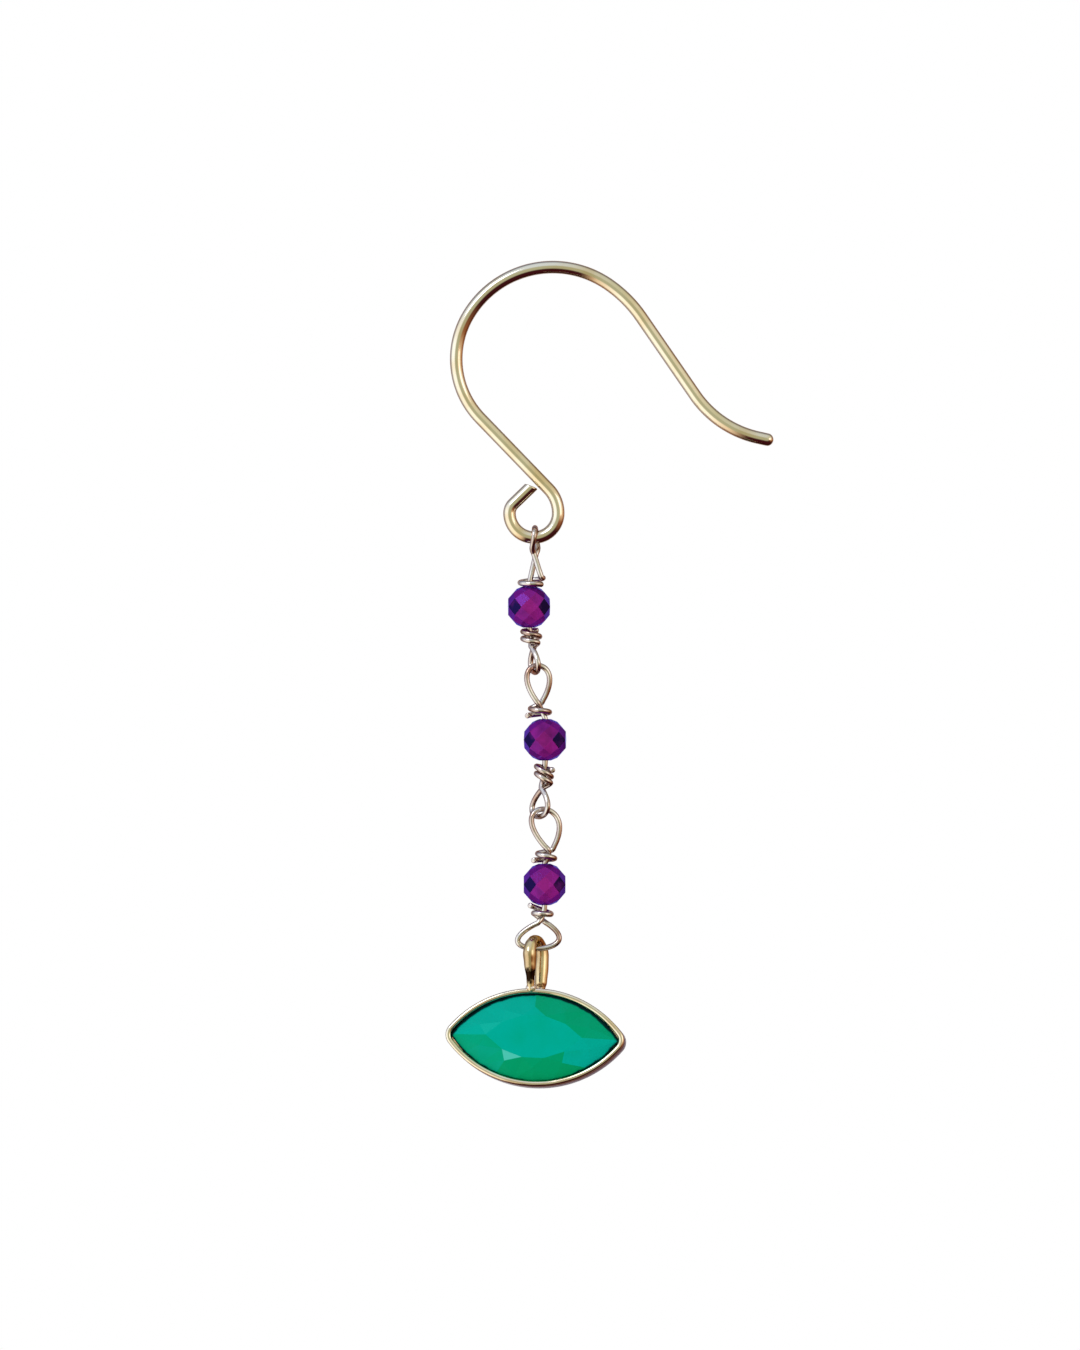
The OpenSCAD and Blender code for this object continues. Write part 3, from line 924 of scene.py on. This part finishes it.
def outline_loop(shape, inset, depth, long_steps, tip_steps):
    """The edges of a marquise outline, spun from one vertex round its arcs and tips."""
    c, arc = TIP_CENTRE, BEZEL_ARC
    reach = math.asin(c / (arc - TIP_R))
    low = Vector((0, depth, arc - BEZEL_WIDTH / 2))
    start = low + (arc - inset) * Vector((-math.sin(reach), 0, -math.cos(reach)))
    turns = (
        (low, 2 * reach, long_steps),
        (Vector((c, depth, 0)), math.pi - 2 * reach, tip_steps),
        (Vector((0, depth, BEZEL_WIDTH / 2 - arc)), 2 * reach, long_steps),
        (Vector((-c, depth, 0)), math.pi - 2 * reach, tip_steps),
    )
    older = set(shape.edges)
    end = shape.verts.new(start)
    for centre, angle, steps in turns:
        spun = bmesh.ops.spin(
            shape, geom=[end], cent=centre, axis=(0, -1, 0), angle=angle, steps=steps
        )
        end = spun["geom_last"][0]
    corners = dict.fromkeys(v for e in shape.edges if e not in older for v in e.verts)
    bmesh.ops.remove_doubles(shape, verts=list(corners), dist=SAME_PLACE)
    return [e for e in shape.edges if e not in older]


def bezel_cup(looks):
    """The cup: a back plate, a wall, and a rim rubbed down over the stone."""
    shape = bmesh.new()
    loops = [
        outline_loop(shape, inset, depth, long_steps=44, tip_steps=14)
        for inset, depth in CUP_SECTIONS
    ]
    for a, b in zip(loops, loops[1:]):
        bmesh.ops.bridge_loops(shape, edges=a + b)
    for loop in (loops[0], loops[-1]):
        bmesh.ops.edgeloop_fill(shape, edges=loop)
    bmesh.ops.recalc_face_normals(shape, faces=shape.faces)
    for vert in shape.verts:
        if vert.co.y < RIM_DEPTH:
            soft = noise.noise(vert.co * RIM_GRAIN) * RIM_UNEVEN
            vert.co.y = max(vert.co.y + soft + RIM_UNEVEN / 2, 0)
    roll = Matrix.Rotation(math.radians(SETTING_ROLL), 3, "Y")
    bmesh.ops.rotate(shape, cent=(0, 0, 0), matrix=roll, verts=shape.verts)
    bmesh.ops.transform(shape, matrix=pendant_place(looks), verts=shape.verts)
    mesh = mesh_of("bezel_cup", shape, True)
    smooth_sides(mesh)
    return mesh


def bail_frame(looks):
    """Where the bail's own plane stands, with its feet on the x axis."""
    return (
        pendant_place(looks)
        @ Matrix.Translation((0, BAIL_SET_BACK, BEZEL_WIDTH / 2 - BAIL_SINK))
        @ Matrix.Rotation(math.radians(90 + BAIL_YAW), 4, "Z")
        @ Matrix.Rotation(math.radians(90), 4, "X")
    )


def bail_thickness(part):
    """The bail's thickness, as a share of its wire's, at a part of its length from the front."""
    stops = BAIL_FRONT if part < 0.5 else BAIL_BACK
    part = min(part, 1 - part)
    (a, low), (b, high) = next(pair for pair in zip(stops, stops[1:]) if part <= pair[1][0])
    s = share(a, b, part)
    s = s * s * (3 - 2 * s)
    return low + (high - low) * s


def bail_mesh(looks):
    """The bail: one wire over the top, thickest at its shoulders, its legs drawn out thin."""
    spread = math.radians(BAIL_SPREAD)
    shoulder = (-BAIL_R * math.cos(spread), BAIL_LEG * math.cos(spread))
    leg = BAIL_LEG - SOLDERED
    foot = (shoulder[0] + leg * math.sin(spread), shoulder[1] - leg * math.cos(spread))
    bends = (Bend(leg, BAIL_R, -180 - 2 * BAIL_SPREAD),)
    flat = bent_path(bends, (*foot, 90 + BAIL_SPREAD), end_run=leg, step=0.06)
    place = bail_frame(looks)
    path = [place @ Vector((across, up, 0)) for across, up in flat]
    thick = looks.pendant.bail_wire / MM / 2
    last = len(path) - 1
    radii = [thick * bail_thickness(i / last) for i in range(last + 1)]
    return wire_mesh("bail", path, radii, resolution=6)


def solder_mesh(looks):
    """Small drops of solder that run up the bail's feet from the bezel."""
    place = pendant_place(looks)
    shape = bmesh.new()
    for drop in SOLDER_DROPS:
        spot = place @ Matrix.Translation((drop.across, drop.back, BEZEL_WIDTH / 2 - drop.sink))
        shaped = spot @ Matrix.Diagonal((*(half * drop.size for half in DROP_HALVES), 1))
        made = bmesh.ops.create_icosphere(shape, subdivisions=4, radius=1)
        for vert in made["verts"]:
            uneven = noise.noise(vert.co * DROP_GRAIN + Vector((drop.size * DROP_SHIFT, 0, 0)))
            vert.co *= 1 + DROP_UNEVEN * uneven
        bmesh.ops.transform(shape, matrix=shaped, verts=made["verts"])
    return mesh_of("bail_solder", shape, True)


# The cut stones


def paint_facets(mesh, tones):
    """Gives each facet its tone, in the attribute facet_tone."""
    painted = mesh.color_attributes.new("facet_tone", "FLOAT_COLOR", "CORNER")
    for face, tone in zip(mesh.polygons, tones):
        for corner in face.loop_indices:
            painted.data[corner].color = (tone, tone, tone, 1)


def stone_tones(mesh, centre):
    """Painted light and shade on the stone's facets, as light turns in a cut stone, with a painted
    glint on one facet.
    """
    places = [face.center / MM - centre for face in mesh.polygons]
    crown = [
        i
        for i, face in enumerate(mesh.polygons)
        if face.normal.y < -CROWN_FACING and face.area > LEAST_FACET
    ]
    painted_glint = min(crown, key=lambda i: ((places[i] - PAINTED_GLINT) * Vector((1, 0, 1))).length)
    half_length, half_width = STONE_HALVES
    tones = []
    for face, place in zip(mesh.polygons, places):
        turn = math.degrees(math.atan2(place.z / half_width, place.x / half_length)) % 360
        tone = next(tone for end, tone in PAINTED_FACET_SHADES if turn <= end)
        if abs(face.normal.y) > TABLE_FACING:
            tone = TABLE_TONE
        tones.append(tone + TONE_RIPPLE * math.sin(5 * face.normal.x - 7 * face.normal.z))
    tones[painted_glint] = 1.0
    return tones


def bead_tones(mesh, seed):
    """Tones of a bead's facets: painted shade on those beside the middle, the rest by chance."""
    tones = []
    for face in mesh.polygons:
        n = face.normal
        aslant = abs(math.sin(2 * math.atan2(n.y, n.x)))
        # Facets that face aslant between the front and a side get painted shade
        deep = aslant > PAINTED_SHADE_ASLANT and abs(n.z) < PAINTED_SHADE_RISE
        facet = PAINTED_SHADE_FACET if deep else BRIGHT_FACET
        tones.append(facet.middle + facet.chance * noise.noise(n * 2.3 + Vector((seed, 0, 0))))
    return tones


def polish_edges(shape, edge, bore):
    """Joins flat facets and gives the edges between them a narrow polish, clear of a bore."""
    bmesh.ops.dissolve_limit(shape, angle_limit=ONE_FACET, verts=shape.verts, edges=shape.edges)
    sharp = []
    for e in shape.edges:
        off = min(math.hypot(v.co.x, v.co.y) for v in e.verts)
        if e.is_manifold and e.calc_face_angle(0) > SHARP_EDGE and off >= bore:
            sharp.append(e)
    bmesh.ops.bevel(
        shape,
        geom=sharp,
        offset=edge / MM,
        affect="EDGES",
        segments=1,
        profile=0.5,
        material=-1,
        clamp_overlap=True,
    )


def faceted_bead(name, node, edge, turn):
    """A drilled ball of flat diamond facets: each ring of corners is turned by half a facet,
    and its radius and height follow from the two before it."""
    half = math.pi / BEAD_FACETS
    rings = [Vector((1, 0)), Vector((math.cos(half), math.sin(half)))]
    while rings[-1].x > BEAD_END_R / BEAD_R:
        low, mid = rings[-2:]
        along = Vector((mid.x * math.cos(half), mid.y)) - low
        rings.append(low - 2 * low.dot(along) / along.length_squared * along)
    shape = bmesh.new()
    for i, (out, up) in enumerate(rings):
        for way in (1, -1) if i else (1,):
            place = Matrix.Translation((0, 0, way * up * BEAD_R))
            turned = Matrix.Rotation(half * (i % 2) + math.radians(turn), 4, "Z")
            bmesh.ops.create_circle(
                shape, segments=BEAD_FACETS, radius=out * BEAD_R, matrix=place @ turned
            )
    bmesh.ops.delete(shape, geom=shape.edges[:], context="EDGES_FACES")
    bmesh.ops.scale(shape, vec=(BEAD_STRETCH, BEAD_STRETCH, 1), verts=shape.verts)
    bmesh.ops.convex_hull(shape, input=shape.verts[:])
    polish_edges(shape, edge, BEAD_END_R + BEAD_END_ROOM)
    caps = [f for f in shape.faces if abs(f.normal.z) > 0.999]
    wide = min(v.co.xy.length for f in caps for v in f.verts)
    bmesh.ops.inset_region(shape, faces=caps, thickness=wide - BEAD_BORE_R)
    mouths = [e for f in caps for e in f.edges]
    bmesh.ops.delete(shape, geom=caps, context="FACES_ONLY")
    bmesh.ops.bridge_loops(shape, edges=mouths)
    bmesh.ops.recalc_face_normals(shape, faces=shape.faces)
    low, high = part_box(node)
    bmesh.ops.translate(shape, vec=(low + high) / 2 / MM, verts=shape.verts)
    return mesh_of(name, shape, False)


def cut_stone(name, node, edge):
    """A copy of a CAD stone with its flat facets whole and a narrow polish on their edges."""
    shape = bmesh.new()
    shape.from_mesh(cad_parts[node].data)
    bmesh.ops.scale(shape, vec=(1 / MM,) * 3, verts=shape.verts)
    bmesh.ops.remove_doubles(shape, verts=shape.verts, dist=SAME_PLACE)
    polish_edges(shape, edge, 0)
    return mesh_of(name, shape, False)


# The stage


def studio_world(world):
    """Soft light all round: a white screen at the left, cream at the right, a pale ceiling, a
    dark warm table below, an olive wall in front and a pale one behind. The camera sees plain
    white."""
    nodes = Nodes(world)
    way = nodes.coordinate("Generated")
    x, y, z = nodes.apart(way)
    turn = nodes.number("ARCTAN2", z, x)
    around = nodes.ramp(nodes.spread(turn, to=(0, 1), of=(-math.pi, math.pi)), ROOM_LIGHT)
    behind = nodes.spread(y, to=(0, 1), of=(-0.2, 0.45))
    middle = nodes.mix(behind, OLIVE_WALL, PALE_WALL)
    off_axis = nodes.spread(nodes.measure("LENGTH", nodes.flat(way)), to=(0, 1), of=(0.3, 0.6))
    not_far_behind = nodes.spread(y, to=(1, 0), of=(0.6, 0.82))
    side = nodes.number("MULTIPLY", off_axis, not_far_behind)
    walls = nodes.mix(side, middle, around)
    falling = nodes.number("SUBTRACT", x, z)
    veil = nodes.ramp(nodes.spread(falling, to=(0, 1), of=(-1, 1)), VEIL)
    dim = nodes.mix(nodes.number("MULTIPLY", behind, side), walls, veil, "MULTIPLY")
    seen = nodes.mix(nodes.add("ShaderNodeLightPath").outputs["Is Camera Ray"], dim, (1, 1, 1))
    light = nodes.add("ShaderNodeBackground")
    nodes.join(seen, light.inputs["Color"])
    nodes.join(light.outputs[0], nodes.add("ShaderNodeOutputWorld").inputs["Surface"])


def softbox(name, place, size, power):
    """A square lamp that faces the earring."""
    lamp = bpy.data.lights.new(name, "AREA")
    lamp.shape = "SQUARE"
    lamp.size = size
    lamp.energy = power
    light = bpy.data.objects.new(name, lamp)
    light.location = place
    light.rotation_euler = (Vector(place) - LIT_PLACE).to_track_quat("Z", "Y").to_euler()
    bpy.context.scene.collection.objects.link(light)


def photo_camera(distance):
    """A camera at a distance in metres, which frames the earring as the photo does."""
    lens = bpy.data.cameras.new("camera")
    lens.sensor_width = SENSOR
    lens.lens = SENSOR * distance / (PHOTO_HEIGHT / PIXELS_PER_MM * MM)
    camera = bpy.data.objects.new("camera", lens)
    centre_x = (PHOTO_WIDTH / 2 - PHOTO_ORIGIN[0]) / PIXELS_PER_MM * MM
    centre_z = (PHOTO_ORIGIN[1] - PHOTO_HEIGHT / 2) / PIXELS_PER_MM * MM
    camera.location = (centre_x, -distance, centre_z)
    camera.rotation_euler = (math.radians(90), 0, 0)
    return camera


# Operators


class MakeEarWire(bpy.types.Operator):
    """Makes the ear wire with its ring and its rounded tail."""

    bl_idname = "earring.make_ear_wire"
    bl_label = "Ear wire"

    def execute(self, context):
        looks = context.scene.earring_looks.ear_wire
        alloy = Gold(tuple(looks.colour), tuple(looks.warm), (0.25, 0.08, 0.05), 0.06, 0.12)
        gold = polished_gold("ear_wire_gold", alloy)
        mesh = ear_wire_mesh(looks.wire / MM)
        new_piece("ear_wire", mesh, "hook", "ear_wire_gold", gold, "ear_hook")
        return {"FINISHED"}


class MakeLinks(bpy.types.Operator):
    """Makes the three wrapped links."""

    bl_idname = "earring.make_links"
    bl_label = "Links"

    def execute(self, context):
        looks = context.scene.earring_looks
        alloy = Gold(tuple(looks.links.colour), tuple(looks.links.warm), (0.3, 0.13, 0.1), 0.1, 0.2)
        gold = polished_gold("link_wire_gold", alloy)
        heights = link_heights(looks)[0]
        for name, link in LINKS.items():
            mesh = link_mesh(name + "_wrapped_link", link, looks.links.wire / MM, heights[name])
            new_piece(mesh.name, mesh, "drop", "link_wire_gold", gold, name + "_link")
        return {"FINISHED"}


class MakeBeads(bpy.types.Operator):
    """Makes the three faceted garnet beads."""

    bl_idname = "earring.make_beads"
    bl_label = "Beads"

    def execute(self, context):
        looks = context.scene.earring_looks.beads
        plum = garnet("garnet", tuple(looks.colour), tuple(looks.violet), tuple(looks.shade))
        for name, turn in BEAD_TURNS.items():
            mesh = faceted_bead(name + "_garnet", name + "_bead", looks.edge, turn)
            paint_facets(mesh, bead_tones(mesh, turn))
            new_piece(mesh.name, mesh, "drop", "garnet", plum, name + "_bead")
        return {"FINISHED"}


class MakeSetting(bpy.types.Operator):
    """Makes the bezel cup, its bail and the solder between them."""

    bl_idname = "earring.make_setting"
    bl_label = "Setting"

    def execute(self, context):
        looks = context.scene.earring_looks
        pendant = looks.pendant
        back = pendant_place(looks).to_3x3() @ Vector((0, 1, 0))
        alloy = Gold(tuple(pendant.gold), tuple(pendant.warm), (0.1, 0.015, 0.015), 0.08, 0.18)
        gold = polished_gold("bezel_gold", alloy, brushed=back)
        new_piece("bezel_cup", bezel_cup(looks), "pendant", "bezel_gold", gold, "bezel_setting")
        # The bail's gold carries a painted dark reflection near its front leg
        deep = polished_gold("bail_gold", BAIL_GOLD, painted_reflection_at=bail_frame(looks) @ PAINTED_REFLECTION_PLACE)
        new_piece("bail", bail_mesh(looks), "pendant", "bezel_gold", deep)
        pale = polished_gold("solder_gold", SOLDER_GOLD)
        new_piece("bail_solder", solder_mesh(looks), "pendant", "bezel_gold", pale)
        return {"FINISHED"}


class MakeStone(bpy.types.Operator):
    """Makes the marquise stone."""

    bl_idname = "earring.make_stone"
    bl_label = "Stone"

    def execute(self, context):
        looks = context.scene.earring_looks
        mesh = cut_stone("marquise_stone", "green_stone", looks.pendant.edge)
        low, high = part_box("green_stone")
        paint_facets(mesh, stone_tones(mesh, (low + high) / 2 / MM))
        roll = Matrix.Rotation(math.radians(SETTING_ROLL), 4, "Y")
        setting = pendant_place(looks) @ roll
        teal, green = tuple(looks.pendant.teal), tuple(looks.pendant.green)
        stone = green_agate("green_stone", teal, green, setting)
        new_piece("marquise_stone", mesh, "pendant", "green_stone", stone, "green_stone")
        return {"FINISHED"}


class MakeStage(bpy.types.Operator):
    """Makes the pale floor, the soft light and the camera."""

    bl_idname = "earring.make_stage"
    bl_label = "Stage"

    def execute(self, context):
        looks = context.scene.earring_looks.stage
        shape = bmesh.new()
        bmesh.ops.create_circle(shape, cap_ends=True, segments=96, radius=FLOOR_R)
        bmesh.ops.translate(shape, vec=(0, 0, -looks.drop / MM), verts=shape.verts)
        floor = bpy.data.objects.new("floor", mesh_of("floor", shape, False))
        floor.data.materials.append(paper_sheet("paper", tuple(looks.paper)))
        floor.visible_glossy = False
        context.scene.collection.objects.link(floor)
        context.scene.world = bpy.data.worlds.new("studio")
        studio_world(context.scene.world)
        for name, place, size, power in SOFTBOXES:
            softbox(name, place, size, power)
        camera = photo_camera(looks.distance)
        context.scene.collection.objects.link(camera)
        context.scene.camera = camera
        context.scene.view_settings.view_transform = "Standard"
        return {"FINISHED"}


class EarringLooks(bpy.types.PropertyGroup):
    ear_wire: bpy.props.PointerProperty(type=EarWireLooks, name="Ear wire")
    links: bpy.props.PointerProperty(type=LinkLooks, name="Links")
    beads: bpy.props.PointerProperty(type=BeadLooks, name="Beads")
    pendant: bpy.props.PointerProperty(type=PendantLooks, name="Pendant")
    stage: bpy.props.PointerProperty(type=StageLooks, name="Stage")


class EarringPanel(bpy.types.Panel):
    """Lists the earring's sizes and colours, and the buttons that make its pieces."""

    bl_idname = "VIEW3D_PT_earring"
    bl_label = "Drop earring"
    bl_space_type = "VIEW_3D"
    bl_region_type = "UI"
    bl_category = "Earring"

    def draw(self, context):
        looks = context.scene.earring_looks
        groups = (
            (looks.ear_wire, ("wire", "colour", "warm"), MakeEarWire),
            (looks.links, ("wire", "colour", "warm"), MakeLinks),
            (looks.beads, ("edge", "colour", "shade", "violet"), MakeBeads),
            (looks.pendant, ("bail_wire", "gold", "warm"), MakeSetting),
            (looks.pendant, ("edge", "teal", "green"), MakeStone),
            (looks.stage, ("drop", "distance", "paper"), MakeStage),
        )
        for group, names, maker in groups:
            box = self.layout.box()
            for name in names:
                box.prop(group, name)
            box.operator(maker.bl_idname)


MAKERS = (MakeEarWire, MakeLinks, MakeBeads, MakeSetting, MakeStone, MakeStage)
GROUPS = (EarWireLooks, LinkLooks, BeadLooks, PendantLooks, StageLooks, EarringLooks)


def register():
    for cls in (*GROUPS, *MAKERS, EarringPanel):
        bpy.utils.register_class(cls)
    bpy.types.Scene.earring_looks = bpy.props.PointerProperty(type=EarringLooks)


def unregister():
    del bpy.types.Scene.earring_looks
    for cls in (EarringPanel, *reversed(MAKERS), *reversed(GROUPS)):
        bpy.utils.unregister_class(cls)


def main():
    register()
    bpy.ops.earring.make_ear_wire()
    bpy.ops.earring.make_links()
    bpy.ops.earring.make_beads()
    bpy.ops.earring.make_setting()
    bpy.ops.earring.make_stone()
    bpy.ops.earring.make_stage()


if __name__ == "__main__":
    main()
